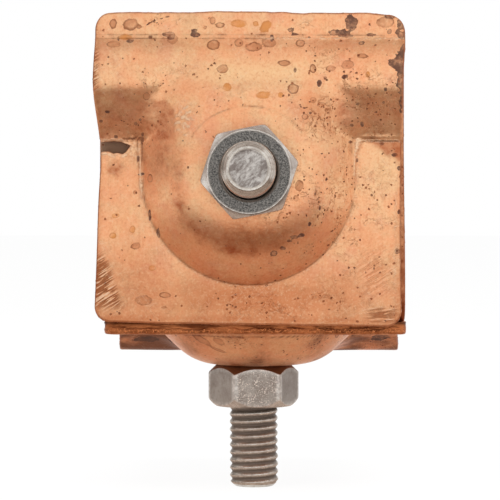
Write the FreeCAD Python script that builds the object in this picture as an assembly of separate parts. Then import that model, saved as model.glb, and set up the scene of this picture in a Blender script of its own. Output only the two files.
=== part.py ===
import FreeCAD, Part
import os
from math import acos, cos, degrees, radians, sin, tan

# Standing seam conductor holder.
# Two equal press-formed copper clamp plates sit on the outside of a folded copper angle.
# Each plate is drawn down by a hexagon nut on a square-neck bolt whose head lies inside
# the angle: the front plate clamps the roof seam, the lower plate clamps the conductor.
# Lengths are in millimetres. X runs along the seam, -Y faces the viewer and Z is up.
# The origin lies on the front bolt's axis, in the outer face of the angle's upright leg.

# Copper sheet
sheet = 2.0
bracket_sheet = 2.0
corner_radius = 2.4

# Clamp plate, measured from its bolt hole
plate_width = 47.0
bolt_to_flat_edge = 23.0
bolt_to_lip_edge = 24.2
side_draw_in = 0.45
plate_hole = 9.0

# Domed boss round the bolt hole, from its flat seat out to its foot
seat_radius = 8.5
shoulder_round = 3.2
dome_height = 6.0
dome_flank_angle = 42.0

# Crown across the plate, which makes the channel behind it, and the lip above it
crown_height = 4.7
crown_peak = 15.0
crown_round = 4.0
crown_slope_angle = 27.0
crease = 20.6
lip_step = 1.4
bridge_drop = 0.05

# Lanced cuts at the crown's foot: one stands open, the others are closed
lance_length = 5.0
open_lance = 2.1
closed_lance = 0.2

# Folded angle
bracket_width = 47.0
bend_inner_radius = 1.0

# M8 square-neck bolts and hexagon nuts
thread_diameter = 7.9
bolt_length = 30.0
bolt_end_chamfer = 0.8
head_diameter = 20.0
head_height = 4.6
head_rim = 0.9
head_flat_diameter = 8.0
head_break_diameter = 16.0
neck_width = 8.2
neck_length = 4.4
neck_corner = 0.9
neck_clearance = 0.15
nut_across_flats = 13.0
nut_height = 6.8
nut_chamfer_angle = 30.0
nut_chamfer_circle = 12.45
nut_bore_clearance = 0.05
nut_mouth_diameter = 9.3

# How the pieces were put together
front_plate_shift = -0.3
front_plate_turn = -0.7
lower_plate_shift = 0.35
lower_plate_setback = 0.3
front_nut_turn = 11.3
lower_nut_turn = -6.2

# Room that a cutting solid reaches past the piece it cuts
over = 1.0


def point(x, y, z):
    return FreeCAD.Vector(x, y, z)


def line(start, end):
    return Part.makeLine(start, end)


def arc(start, centre, radius, first, last):
    """Arc in the plane x = 0, with angles measured from +z towards +y."""
    middle = radians(first + last) / 2
    end = radians(last)
    through = centre + point(0, radius * sin(middle), radius * cos(middle))
    finish = centre + point(0, radius * sin(end), radius * cos(end))
    return Part.Arc(start, through, finish).toShape(), finish


def solid_between(edges, run):
    """Solid swept from a closed loop of edges along a straight run."""
    return Part.Face(Part.Wire(edges)).extrude(run)


def crown_profile(depth, edge, lip_edge, base):
    """Side profile of the plate, at a depth below its front skin, closed at base."""
    flat = sheet - depth
    top = sheet + crown_height
    slope_radius = crown_round - depth
    step_angle = 2 * degrees(acos((crease - crown_peak) / crease_chord()))
    lip_radius = (crease - crown_peak) / sin(radians(step_angle))
    back_radius = lip_radius - depth
    lip = top - lip_step - depth
    slope_centre = point(0, crown_peak, top - crown_round)
    lip_centre = point(0, crown_peak, top - lip_radius)
    lip_angle = degrees(acos((lip - lip_centre.z) / back_radius))

    shoulder = slope_centre + point(0, -slope_radius * sin(radians(crown_slope_angle)),
                                    slope_radius * cos(radians(crown_slope_angle)))
    foot = point(0, shoulder.y - (shoulder.z - flat) / tan(radians(crown_slope_angle)), flat)
    slope_arc, peak = arc(shoulder, slope_centre, slope_radius, -crown_slope_angle, 0)
    lip_arc, valley = arc(peak, lip_centre, back_radius, 0, lip_angle)
    corners = [point(0, -edge, base), point(0, -edge, flat), foot, shoulder]
    edges = [line(corners[i], corners[i + 1]) for i in range(3)]
    edges += [slope_arc, lip_arc, line(valley, point(0, lip_edge, lip))]
    edges.append(line(point(0, lip_edge, lip), point(0, lip_edge, base)))
    edges.append(line(point(0, lip_edge, base), corners[0]))
    return edges


def crease_chord():
    """Straight distance from the crown's peak to the crease."""
    return ((crease - crown_peak) ** 2 + lip_step ** 2) ** 0.5


def crown_foot():
    """Where the crown's slope meets the flat of the plate's front."""
    slope = radians(crown_slope_angle)
    rise = crown_height - crown_round * (1 - cos(slope))
    return crown_peak - crown_round * sin(slope) - rise / tan(slope)


def dome_half(depth, base, side):
    """Half section of the domed boss, from its middle out to one side, open at the middle."""
    flank = radians(dome_flank_angle)
    top = sheet + dome_height - depth
    radius = shoulder_round - depth
    centre = point(side * seat_radius, 0, top - radius)
    seat_end = point(side * seat_radius, 0, top)
    through = centre + point(side * radius * sin(flank / 2), 0, radius * cos(flank / 2))
    flank_top = centre + point(side * radius * sin(flank), 0, radius * cos(flank))
    flat = sheet - depth
    foot = point(flank_top.x + side * (flank_top.z - flat) / tan(flank), 0, flat)
    return [line(point(0, 0, top), seat_end),
            Part.Arc(seat_end, through, flank_top).toShape(),
            line(flank_top, foot),
            line(foot, point(foot.x, 0, base)),
            line(point(foot.x, 0, base), point(0, 0, base))]


def dome(depth, base):
    """Lower half of the round boss, turned about the bolt's axis."""
    edges = dome_half(depth, base, 1)
    edges.append(line(point(0, 0, base), point(0, 0, sheet + dome_height - depth)))
    return Part.Face(Part.Wire(edges)).revolve(point(0, 0, 0), point(0, 0, 1), -180)


def bridge(depth, base):
    """The boss carried straight up from its widest line, then sloped down into the crown."""
    halves = dome_half(depth, base, 1) + dome_half(depth, base, -1)
    section = Part.Face(Part.Wire(Part.sortEdges(halves)[0]))
    straight = section.extrude(point(0, seat_radius, 0))
    section.translate(point(0, seat_radius, 0))
    fall = dome_height - crown_height + bridge_drop
    sloped = section.extrude(point(0, crown_peak - seat_radius, -fall))
    return straight.fuse(sloped)


def skin(depth, half_width, edge, lip_edge, base):
    """Solid under the plate's front skin or, at a depth of one sheet, under its back skin."""
    crown = solid_between(crown_profile(depth, edge, lip_edge, base), point(2 * half_width, 0, 0))
    crown.translate(point(-half_width, 0, 0))
    return crown.fuse([dome(depth, base), bridge(depth, base)])


def plate_outline(height):
    """Prism of the blank's outline: round corners, and sides drawn in beside the dome."""
    side = plate_width / 2
    low = -bolt_to_flat_edge
    high = bolt_to_lip_edge
    middle = (low + high) / 2
    waist = side - side_draw_in
    right = Part.Arc(point(side, low, 0), point(waist, middle, 0), point(side, high, 0)).toShape()
    left = Part.Arc(point(-side, high, 0), point(-waist, middle, 0), point(-side, low, 0)).toShape()
    edges = [line(point(-side, low, 0), point(side, low, 0)), right,
             line(point(side, high, 0), point(-side, high, 0)), left]
    prism = Part.Face(Part.Wire(edges)).extrude(point(0, 0, height))
    upright = [edge for edge in prism.Edges
               if abs(edge.Vertexes[0].Z - edge.Vertexes[-1].Z) > height / 2]
    return prism.makeFillet(corner_radius, upright)


def lance(side, opening, height):
    """Cut that runs in from one side of the plate under the crown, narrowing to its end."""
    outer = side * (plate_width / 2 + over)
    inner = side * (plate_width / 2 - side_draw_in - lance_length)
    high = crown_foot()
    low = high - opening
    tip = inner + side * opening / 2
    edges = [line(point(outer, high, 0), point(tip, high, 0)),
             Part.Arc(point(tip, high, 0), point(inner, high - opening / 2, 0),
                      point(tip, low, 0)).toShape(),
             line(point(tip, low, 0), point(outer, low, 0)),
             line(point(outer, low, 0), point(outer, high, 0))]
    return Part.Face(Part.Wire(edges)).extrude(point(0, 0, height))


def clamp_plate(left_opening, right_opening):
    """Clamp plate lying on its back: crown towards +y, bolt axis up the z axis."""
    half = plate_width / 2 + over
    front = skin(0, half, bolt_to_flat_edge + over, bolt_to_lip_edge + over, 0)
    back = skin(sheet, half + over, bolt_to_flat_edge + 2 * over, bolt_to_lip_edge + 2 * over, -over)
    height = sheet + dome_height + over
    plate = front.cut(back).common(plate_outline(height))
    hole = Part.makeCylinder(plate_hole / 2, height)
    cuts = [hole, lance(-1, left_opening, height), lance(1, right_opening, height)]
    return plate.cut(cuts).removeSplitter()


def angle_bracket():
    """Folded angle: an upright leg behind the front plate and a level leg over the lower one."""
    bend = bend_inner_radius + bracket_sheet
    corner = -bolt_to_flat_edge
    top = bolt_to_lip_edge
    rear = bolt_to_flat_edge + bolt_to_lip_edge
    outer_bend = bend * (1 - cos(radians(45)))
    inner_bend = bracket_sheet + bend_inner_radius * (1 - cos(radians(45)))
    edges = [line(point(0, 0, top), point(0, 0, corner + bend)),
             Part.Arc(point(0, 0, corner + bend), point(0, outer_bend, corner + outer_bend),
                      point(0, bend, corner)).toShape(),
             line(point(0, bend, corner), point(0, rear, corner)),
             line(point(0, rear, corner), point(0, rear, corner + bracket_sheet)),
             line(point(0, rear, corner + bracket_sheet), point(0, bend, corner + bracket_sheet)),
             Part.Arc(point(0, bend, corner + bracket_sheet),
                      point(0, inner_bend, corner + inner_bend),
                      point(0, bracket_sheet, corner + bend)).toShape(),
             line(point(0, bracket_sheet, corner + bend), point(0, bracket_sheet, top)),
             line(point(0, bracket_sheet, top), point(0, 0, top))]
    angle = solid_between(edges, point(bracket_width, 0, 0))
    angle.translate(point(-bracket_width / 2, 0, 0))
    free_corners = [edge for edge in angle.Edges if is_free_corner(edge, top, rear)]
    angle = angle.makeFillet(corner_radius, free_corners)
    hole = neck_prism(neck_width + 2 * neck_clearance, -bracket_sheet - over, over)
    return angle.cut([to_front(hole), to_lower(hole)])


def is_free_corner(edge, top, rear):
    """True for the short edges across the sheet at the free ends of the two legs."""
    if abs(edge.Length - bracket_sheet) > 1e-6:
        return False
    middle = edge.CenterOfMass
    return abs(middle.z - top) < 1e-6 or abs(middle.y - rear) < 1e-6


def neck_prism(width, start, end):
    """Square neck with rounded corners, along z."""
    prism = Part.makeBox(width, width, end - start, point(-width / 2, -width / 2, start))
    upright = [edge for edge in prism.Edges
               if abs(edge.Vertexes[0].Z - edge.Vertexes[-1].Z) > 1e-6]
    return prism.makeFillet(neck_corner, upright)


def head_break_share():
    """Share of the head's rise that lies outside the break between its two cones."""
    rim = head_diameter / 2
    flat = head_flat_diameter / 2
    middle = head_break_diameter / 2
    return (rim ** 2 - middle ** 2) / (rim ** 2 - flat ** 2)


def bolt():
    """Square-neck bolt along z, with its head seated on the angle's inner face."""
    seat = -bracket_sheet
    end = seat + bolt_length
    radius = thread_diameter / 2
    tip = radius - bolt_end_chamfer
    shank_edges = [line(point(0, 0, seat), point(radius, 0, seat)),
                   line(point(radius, 0, seat), point(radius, 0, end - bolt_end_chamfer)),
                   line(point(radius, 0, end - bolt_end_chamfer), point(tip, 0, end)),
                   line(point(tip, 0, end), point(0, 0, end)),
                   line(point(0, 0, end), point(0, 0, seat))]
    shank = Part.Face(Part.Wire(shank_edges)).revolve(point(0, 0, 0), point(0, 0, 1), 360)
    rim = head_diameter / 2
    crown = seat - head_height
    bend = seat - head_rim - (head_height - head_rim) * head_break_share()
    head_outline = [point(0, 0, seat), point(rim, 0, seat), point(rim, 0, seat - head_rim),
                    point(head_break_diameter / 2, 0, bend), point(head_flat_diameter / 2, 0, crown),
                    point(0, 0, crown), point(0, 0, seat)]
    head = Part.Face(Part.makePolygon(head_outline)).revolve(point(0, 0, 0), point(0, 0, 1), 360)
    neck = neck_prism(neck_width, seat, seat + neck_length)
    return shank.fuse([head, neck]).removeSplitter()


def nut(turn):
    """Hexagon nut seated on the dome, chamfered at both ends and countersunk at its free end."""
    corner = nut_across_flats / 2 / cos(radians(30))
    corners = [point(corner * cos(radians(turn + 60 * i)), corner * sin(radians(turn + 60 * i)), 0)
               for i in range(6)]
    sides = [line(corners[i], corners[(i + 1) % 6]) for i in range(6)]
    blank = solid_between(sides, point(0, 0, nut_height))
    face = nut_chamfer_circle / 2
    drop = (corner + over - face) * tan(radians(nut_chamfer_angle))
    outline = [point(0, 0, 0), point(face, 0, 0), point(corner + over, 0, drop),
               point(corner + over, 0, nut_height - drop), point(face, 0, nut_height),
               point(0, 0, nut_height), point(0, 0, 0)]
    turned = Part.Face(Part.makePolygon(outline)).revolve(point(0, 0, 0), point(0, 0, 1), 360)
    bore = thread_diameter / 2 + nut_bore_clearance
    mouth = nut_mouth_diameter / 2
    cone = mouth - bore
    cuts = [Part.makeCylinder(bore, nut_height),
            Part.makeCone(bore, mouth, cone, point(0, 0, nut_height - cone))]
    seated = blank.common(turned).cut(cuts)
    seated.translate(point(0, 0, sheet + dome_height))
    return seated


def to_front(shape):
    """Stand a shape up on the angle's upright leg, facing the viewer."""
    placed = shape.copy()
    placed.rotate(point(0, 0, 0), point(1, 0, 0), 90)
    return placed


def to_lower(shape):
    """Turn a shape over under the angle's level leg, facing down."""
    placed = shape.copy()
    placed.rotate(point(0, 0, 0), point(0, 1, 0), 180)
    placed.translate(point(0, bolt_to_flat_edge, -bolt_to_flat_edge))
    return placed


def front_plate():
    """Front plate as it sits: a little to one side and turned in its clearance hole."""
    plate = clamp_plate(open_lance, closed_lance)
    plate.rotate(point(0, 0, 0), point(0, 0, 1), front_plate_turn)
    plate.translate(point(front_plate_shift, 0, 0))
    return to_front(plate)


def lower_plate():
    """Lower plate as it sits, a little to one side and back in its clearance hole."""
    plate = to_lower(clamp_plate(closed_lance, closed_lance))
    plate.translate(point(lower_plate_shift, lower_plate_setback, 0))
    return plate


nodes = {
    "angle_bracket": angle_bracket(),
    "seam_clamp_plate": front_plate(),
    "conductor_clamp_plate": lower_plate(),
    "seam_bolt": to_front(bolt()),
    "conductor_bolt": to_lower(bolt()),
    "seam_nut": to_front(nut(front_nut_turn)),
    "conductor_nut": to_lower(nut(lower_nut_turn)),
}

os.makedirs("parts", exist_ok=True)
for name, shape in nodes.items():
    solid = shape.Solids[0] if len(shape.Solids) == 1 else shape
    solid.exportStep(f"parts/{name}.step")
    print(name, len(shape.Solids), shape.isValid(), round(shape.Volume, 1))
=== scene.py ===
import math

import bpy
import numpy as np
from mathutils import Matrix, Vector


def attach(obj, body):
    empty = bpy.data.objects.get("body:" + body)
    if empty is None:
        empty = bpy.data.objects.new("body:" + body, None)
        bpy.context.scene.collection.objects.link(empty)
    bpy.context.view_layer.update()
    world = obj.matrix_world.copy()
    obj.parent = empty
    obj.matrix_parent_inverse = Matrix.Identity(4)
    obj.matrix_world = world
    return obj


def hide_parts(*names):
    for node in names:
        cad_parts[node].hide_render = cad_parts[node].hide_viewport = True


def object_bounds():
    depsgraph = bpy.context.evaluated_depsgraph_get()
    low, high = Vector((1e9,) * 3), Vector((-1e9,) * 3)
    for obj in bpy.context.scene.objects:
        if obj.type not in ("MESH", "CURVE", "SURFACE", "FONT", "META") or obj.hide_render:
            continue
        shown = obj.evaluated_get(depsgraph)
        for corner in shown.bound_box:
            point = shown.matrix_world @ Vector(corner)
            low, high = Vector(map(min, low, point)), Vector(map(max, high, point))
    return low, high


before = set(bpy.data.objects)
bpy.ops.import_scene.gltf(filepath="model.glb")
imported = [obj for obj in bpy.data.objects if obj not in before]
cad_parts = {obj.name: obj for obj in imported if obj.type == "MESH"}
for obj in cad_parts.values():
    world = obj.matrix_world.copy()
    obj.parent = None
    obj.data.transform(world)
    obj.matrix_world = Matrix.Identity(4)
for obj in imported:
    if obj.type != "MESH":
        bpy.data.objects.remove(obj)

cad_low, cad_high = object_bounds()

# Standing seam conductor holder: two pressed copper clamp plates on a folded copper angle,
# each drawn down by a hexagon nut on a square-neck bolt.
# Shapes are worked out in millimetres in each piece's own frame and stored in metres.
# A plate's own frame lies on its back: u across, v towards the crown, w out of the front.
MM = 0.001

# Sizes shared with the solids
SHEET = 2.0
CORNER_RADIUS = 2.4
PLATE_HALF_WIDTH = 23.5
BOLT_TO_FLAT_EDGE = 23.0
BOLT_TO_LIP_EDGE = 24.2
SIDE_DRAW_IN = 0.45
PLATE_HOLE_RADIUS = 4.5
SEAT_RADIUS = 6.5
BRIDGE_START = 8.5
SHOULDER_ROUND = 9.0
DOME_HEIGHT = 6.0
DOME_FLANK = math.radians(44)
CROWN_HEIGHT = 4.7
CROWN_PEAK = 15.0
CROWN_ROUND = 5.5
CROWN_SLOPE = math.radians(28)
CREASE = 20.6
LIP_STEP = 1.4
BRIDGE_DROP = 0.05
DOME_FOOT_SHIFT = 0.8
LANCE_LENGTH = 5.0
BEND_INNER_RADIUS = 1.0
NECK_HOLE_HALF = 4.25
THREAD_RADIUS = 3.95
THREAD_PITCH = 1.25
THREAD_DEPTH = 0.36
BOLT_LENGTH = 30.0
BOLT_END_CHAMFER = 0.8
HEAD_RADIUS = 10.0
HEAD_HEIGHT = 4.6
HEAD_RIM = 0.9
NECK_HALF = 4.1
NECK_LENGTH = 4.4
NUT_HALF_FLATS = 6.5
NUT_HEIGHT = 6.8
NUT_CHAMFER = math.radians(30)
NUT_FACE_RADIUS = 6.225
NUT_SEAT_RADIUS = 6.0
NUT_SEAT_CHAMFER = math.radians(44)
NUT_BORE_RADIUS = 4.0
NUT_MOUTH_RADIUS = 4.65

# How finely the turned pieces are divided
BOLT_SEGMENTS = 112
THREAD_STEP = 0.07
NUT_SEGMENTS = 288
NUT_THREAD_STEP = 0.1

# How the pieces were put together
FRONT_PLATE_SHIFT = -0.3
FRONT_PLATE_TURN = math.radians(-0.7)
LOWER_PLATE_SHIFT = 0.6
BRACKET_SHIFT = 0.2
LOWER_PLATE_SETBACK = 0.3
FRONT_NUT_TURN = math.radians(11.3)
LOWER_NUT_TURN = math.radians(-6.2)

# Where the crown's slope meets the flat
CROWN_SHOULDER = CROWN_PEAK - CROWN_ROUND * math.sin(CROWN_SLOPE)
CROWN_SHOULDER_HEIGHT = SHEET + CROWN_HEIGHT - CROWN_ROUND * (1 - math.cos(CROWN_SLOPE))
CROWN_FOOT = CROWN_SHOULDER - (CROWN_SHOULDER_HEIGHT - SHEET) / math.tan(CROWN_SLOPE)
# Where a side cut ends, from the plate's middle
CUT_TIP = PLATE_HALF_WIDTH - SIDE_DRAW_IN - LANCE_LENGTH
# Radius of the dome's outline on the flat
DOME_OUTLINE = 16.38


# Small maths helpers

def smoothstep(low, high, value):
    share = np.clip((value - low) / (high - low), 0, 1)
    return share * share * (3 - 2 * share)


def smooth_max(a, b, width):
    """Larger of two heights, with the corner between them filled over a width."""
    share = np.clip(0.5 + 0.5 * (a - b) / width, 0, 1)
    return b + (a - b) * share + width * share * (1 - share)


def bell(value, middle, half, power=2):
    """1 at the middle, falling smoothly to about a third at half a width from it."""
    return np.exp(-((value - middle) / half) ** power)


def hills(u, v, table):
    """Sum of smooth oval hills, each given as height, middle u and v, half width, half height."""
    return sum(height * bell(u, middle_u, half_u) * bell(v, middle_v, half_v)
               for height, middle_u, middle_v, half_u, half_v in table)


def ripple(x, y, size, seed):
    """Gentle irregular waves between about -1 and 1, the same on every run."""
    waves = 7
    random = np.random.default_rng(seed)
    total = np.zeros(np.broadcast(x, y).shape)
    for _ in range(waves):
        angle = random.uniform(0, math.pi)
        length = size * random.uniform(0.6, 1.7)
        phase = random.uniform(0, 2 * math.pi)
        total += np.sin(2 * math.pi * (x * math.cos(angle) + y * math.sin(angle)) / length + phase)
    return total / math.sqrt(2 * waves)


def rounded_half(half, rows, low, high, radius):
    """Half width of an outline at each row, its four corners rounded."""
    rest = np.maximum(radius - np.minimum(rows - low, high - rows), 0)
    return half - (radius - np.sqrt(np.maximum(radius ** 2 - rest ** 2, 0)))


def with_corners(rows, low, high, radius, step):
    """Adds rows that follow the round of the corners at both ends, at every step in degrees."""
    corner = np.array([radius * (1 - math.cos(math.radians(a))) for a in range(0, 91, step)])
    return np.concatenate([low + corner[:-1], rows, high - corner[-2::-1]])


def grid(rows, columns):
    """Numbers of a grid's points and its quads, row by row."""
    index = np.arange(rows * columns).reshape(rows, columns)
    quads = np.stack([index[:-1, :-1], index[:-1, 1:], index[1:, 1:], index[1:, :-1]], axis=2)
    return index, quads


def stretch(positions, spacing):
    """Fills the gaps between rising positions with even steps of about one spacing."""
    filled = [positions[0]]
    for low, high in zip(positions[:-1], positions[1:]):
        steps = max(1, round((high - low) / spacing))
        filled.extend(low + (high - low) * k / steps for k in range(1, steps + 1))
    return np.array(filled)


# Mesh building

def in_scene(name, data, place=(0, 0, 0)):
    thing = bpy.data.objects.new(name, data)
    thing.location = place
    bpy.context.scene.collection.objects.link(thing)
    return thing


def mesh_object(name, points, quads, triangles, marks):
    """Object from points in millimetres, with named values stored on its points."""
    mesh = bpy.data.meshes.new(name)
    faces = [tuple(face) for face in np.asarray(quads).tolist()]
    faces += [tuple(face) for face in triangles]
    mesh.from_pydata((np.asarray(points) * MM).tolist(), [], faces)
    mesh.polygons.foreach_set("use_smooth", [True] * len(mesh.polygons))
    for mark, values in marks.items():
        layer = mesh.attributes.new(mark, "FLOAT", "POINT")
        layer.data.foreach_set("value", np.asarray(values, dtype=np.float32))
    mesh.validate()
    mesh.update()
    return in_scene(name, mesh)


def sheet_solid(points, normals, quads, edge_round, roughness, seed, marks, back_marks):
    """Gives a skin the sheet's thickness, with rounded and sheared edges all round it.

    Points that no quad uses drop out. The edge repeats the skin's marks, the back has its own,
    and each point's depth below the skin is one mark more."""
    used = np.unique(quads)
    renumber = np.zeros(len(points), dtype=int)
    renumber[used] = np.arange(len(used))
    quads = renumber[quads]
    points = points[used]
    normals = normals[used]
    count = len(points)
    starts = quads.ravel()
    ends = np.roll(quads, -1, axis=1).ravel()
    free = ~np.isin(starts * count + ends, ends * count + starts)
    starts = starts[free]
    ends = ends[free]
    following = np.zeros(count, dtype=int)
    preceding = np.zeros(count, dtype=int)
    following[starts] = ends
    preceding[ends] = starts
    rim = np.sort(starts)
    place = np.zeros(count, dtype=int)
    place[rim] = np.arange(len(rim))

    tangent = points[following[rim]] - points[preceding[rim]]
    outward = np.cross(tangent, normals[rim])
    inside_tip = np.linalg.norm(tangent, axis=1) < 0.02
    beside = (points[following[rim]] + points[preceding[rim]]) / 2 - points[rim]
    outward[inside_tip] = beside[inside_tip]
    outward /= np.linalg.norm(outward, axis=1, keepdims=True)
    radius = edge_round[used][rim]
    back = np.minimum(0.15, 0.4 * radius)
    rings = [(radius * math.sin(a), radius * (1 - math.cos(a))) for a in np.radians((30, 60, 90))]
    for share in (0.25, 0.5, 0.75):
        rings.append((radius, radius + (SHEET - radius - back) * share))
    rings.append((radius, SHEET - back))
    rings.append((radius - 0.3 * back, SHEET - 0.3 * back))
    rings.append((radius - back, np.full(len(rim), SHEET)))

    random = np.random.default_rng(seed)
    all_points = [points]
    depth = [np.zeros(count)]
    for number, (reach, drop) in enumerate(rings):
        jitter = random.normal(0, 1, len(rim)) * roughness * (2 < number < 7)
        offset = (reach + jitter)[:, None] * outward - drop[:, None] * normals[rim]
        all_points.append(points[rim] + offset)
        depth.append(drop / SHEET)
    all_points.append(points - SHEET * normals)
    depth.append(np.ones(count))

    # Numbers of the rim's points on the front, on each ring and on the back
    back_start = count + len(rings) * len(rim)
    levels = [np.arange(count), *(count + k * len(rim) + place for k in range(len(rings))),
              np.arange(count) + back_start]
    all_quads = [quads]
    for near, far in zip(levels[:-1], levels[1:]):
        all_quads.append(np.stack([near[ends], near[starts], far[starts], far[ends]], axis=1))
    all_quads.append(quads[:, ::-1] + back_start)
    all_marks = {"depth": np.concatenate(depth)}
    for mark, values in marks.items():
        edge = np.tile(values[used][rim], len(rings))
        behind = np.full(count, back_marks.get(mark, 0.0))
        all_marks[mark] = np.concatenate([values[used], edge, behind])
    return np.concatenate(all_points), np.concatenate(all_quads), [], all_marks


# Clamp plate

def crown_skin(v):
    """Height of the plate's front skin along v, away from the dome."""
    peak = SHEET + CROWN_HEIGHT
    step_angle = 2 * math.atan2(LIP_STEP, CREASE - CROWN_PEAK)
    lip_radius = (CREASE - CROWN_PEAK) / math.sin(step_angle)
    past_peak = v - CROWN_PEAK
    rising = SHEET + (v - CROWN_FOOT) * math.tan(CROWN_SLOPE)
    rounded = peak - CROWN_ROUND + np.sqrt(np.maximum(CROWN_ROUND ** 2 - past_peak ** 2, 0))
    falling = peak - lip_radius + np.sqrt(np.maximum(lip_radius ** 2 - past_peak ** 2, 0))
    crown = np.where(v < CROWN_SHOULDER, rising, np.where(v < CROWN_PEAK, rounded, falling))
    crown = np.where(v < CROWN_FOOT - 3, SHEET - 3, crown)
    lip = np.where(v > CROWN_PEAK, peak - LIP_STEP, SHEET)
    return smooth_max(crown, lip, 0.22)


def dome_skin(u, v):
    """Height of the domed boss and of its bridge up to the crown."""
    slope = (DOME_HEIGHT - CROWN_HEIGHT + BRIDGE_DROP) / (CROWN_PEAK - BRIDGE_START)
    past_seat = v - BRIDGE_START
    fall = slope * 0.5 * (past_seat + np.sqrt(past_seat ** 2 + 1.5))
    radius = np.hypot(u, np.minimum(v, 0))
    lowered = v + DOME_FOOT_SHIFT * smoothstep(BRIDGE_START + 0.5, 15.5, radius)
    radius = np.hypot(u, np.minimum(lowered, 0))
    shoulder_end = SEAT_RADIUS + SHOULDER_ROUND * math.sin(DOME_FLANK)
    in_shoulder = np.clip(radius - SEAT_RADIUS, 0, SHOULDER_ROUND * math.sin(DOME_FLANK))
    drop = SHOULDER_ROUND - np.sqrt(SHOULDER_ROUND ** 2 - in_shoulder ** 2)
    drop += np.maximum(radius - shoulder_end, 0) * math.tan(DOME_FLANK)
    return SHEET + DOME_HEIGHT - drop - fall


def plate_skin(u, v):
    """Height of a clamp plate's whole front skin."""
    fill = 0.3 + 4.2 * smoothstep(3.5, 8.5, v) - 3.2 * smoothstep(11, 15, v)
    return smooth_max(crown_skin(v), dome_skin(u, v), fill)


def plate_grid(spacing, edge):
    """Grid of u and v over a plate's outline, drawn in from it by the width of its edge round."""
    low = -BOLT_TO_FLAT_EDGE + edge
    high = BOLT_TO_LIP_EDGE - edge
    radius = CORNER_RADIUS - edge
    rows = stretch([low + radius, CROWN_FOOT, CREASE - 0.12, CREASE, CREASE + 0.12, CREASE + 0.4,
                    CREASE + 0.52, CREASE + 0.64, high - radius], spacing)
    rows = with_corners(rows, low, high, radius, 9)
    middle = (low + high) / 2
    bow = 1 - ((rows - middle) / (high - middle)) ** 2
    half = PLATE_HALF_WIDTH - edge - SIDE_DRAW_IN * bow
    half = rounded_half(half, rows, low, high, radius)
    shares = stretch([-1.0, 1.0], spacing / PLATE_HALF_WIDTH)
    u = shares[None, :] * half[:, None]
    v = np.repeat(rows[:, None], len(shares), axis=1)
    return u, v, shares


def torn_cut(away):
    """How far the torn cut's upper and lower side stand from its line, out from the middle."""
    pull = 0.8 * smoothstep(16.2, CUT_TIP, away)
    ragged = 0.06 * ripple(away, 0 * away, 1.1, 5) * smoothstep(18.2, 19.0, away)
    upper = np.interp(away, (CUT_TIP, 19.5, 21.0, 23.0), (-0.8, -0.15, -0.08, -0.2))
    lower = np.interp(away, (CUT_TIP, 18.5, 18.9, 19.3, 20.4, 21.0, 21.8, 23.0),
                      (0.82, 1.35, 1.9, 2.25, 1.98, 2.12, 1.82, 1.9))
    closed = away < CUT_TIP
    return np.where(closed, -pull, upper + ragged), np.where(closed, pull, lower + 1.4 * ragged)


def shut_cut(away):
    """The same for a cut that stayed nearly shut."""
    open_share = smoothstep(-0.25, 0.9, away - CUT_TIP)
    return 0.06 * open_share, 0.1 * open_share


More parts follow.
